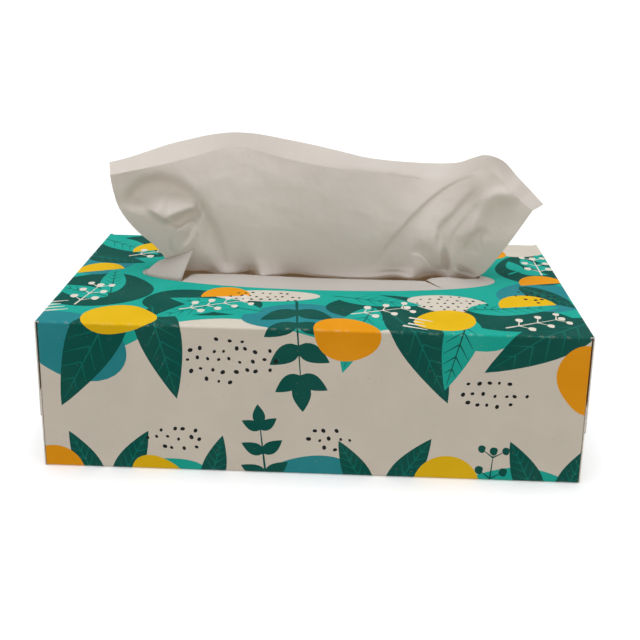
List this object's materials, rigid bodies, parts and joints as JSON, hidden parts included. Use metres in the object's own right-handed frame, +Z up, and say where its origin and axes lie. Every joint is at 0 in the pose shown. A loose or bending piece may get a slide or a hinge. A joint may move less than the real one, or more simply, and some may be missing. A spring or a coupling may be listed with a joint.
{
  "type": "tissue box",
  "caption": "Flat folded-card box of facial tissues with an oval opening, a slit paper liner and one sheet pulled up through the slit",
  "frame": {"origin": "middle of the carton's base", "axes": "+X along the carton, +Y from the front panel to the back panel, +Z up"},
  "size_m": [0.23, 0.118, 0.1354],
  "materials": {
    "card": "uncoated recycled board, printed matt",
    "liner_paper": "thin smooth paper",
    "tissue": "soft unbleached two-ply tissue"
  },
  "bodies": {
    "root": {"carton": "card", "slit_liner": "liner_paper", "tissue_stack": "tissue", "pulled_tissue": "tissue"}
  },
  "joints": []
}
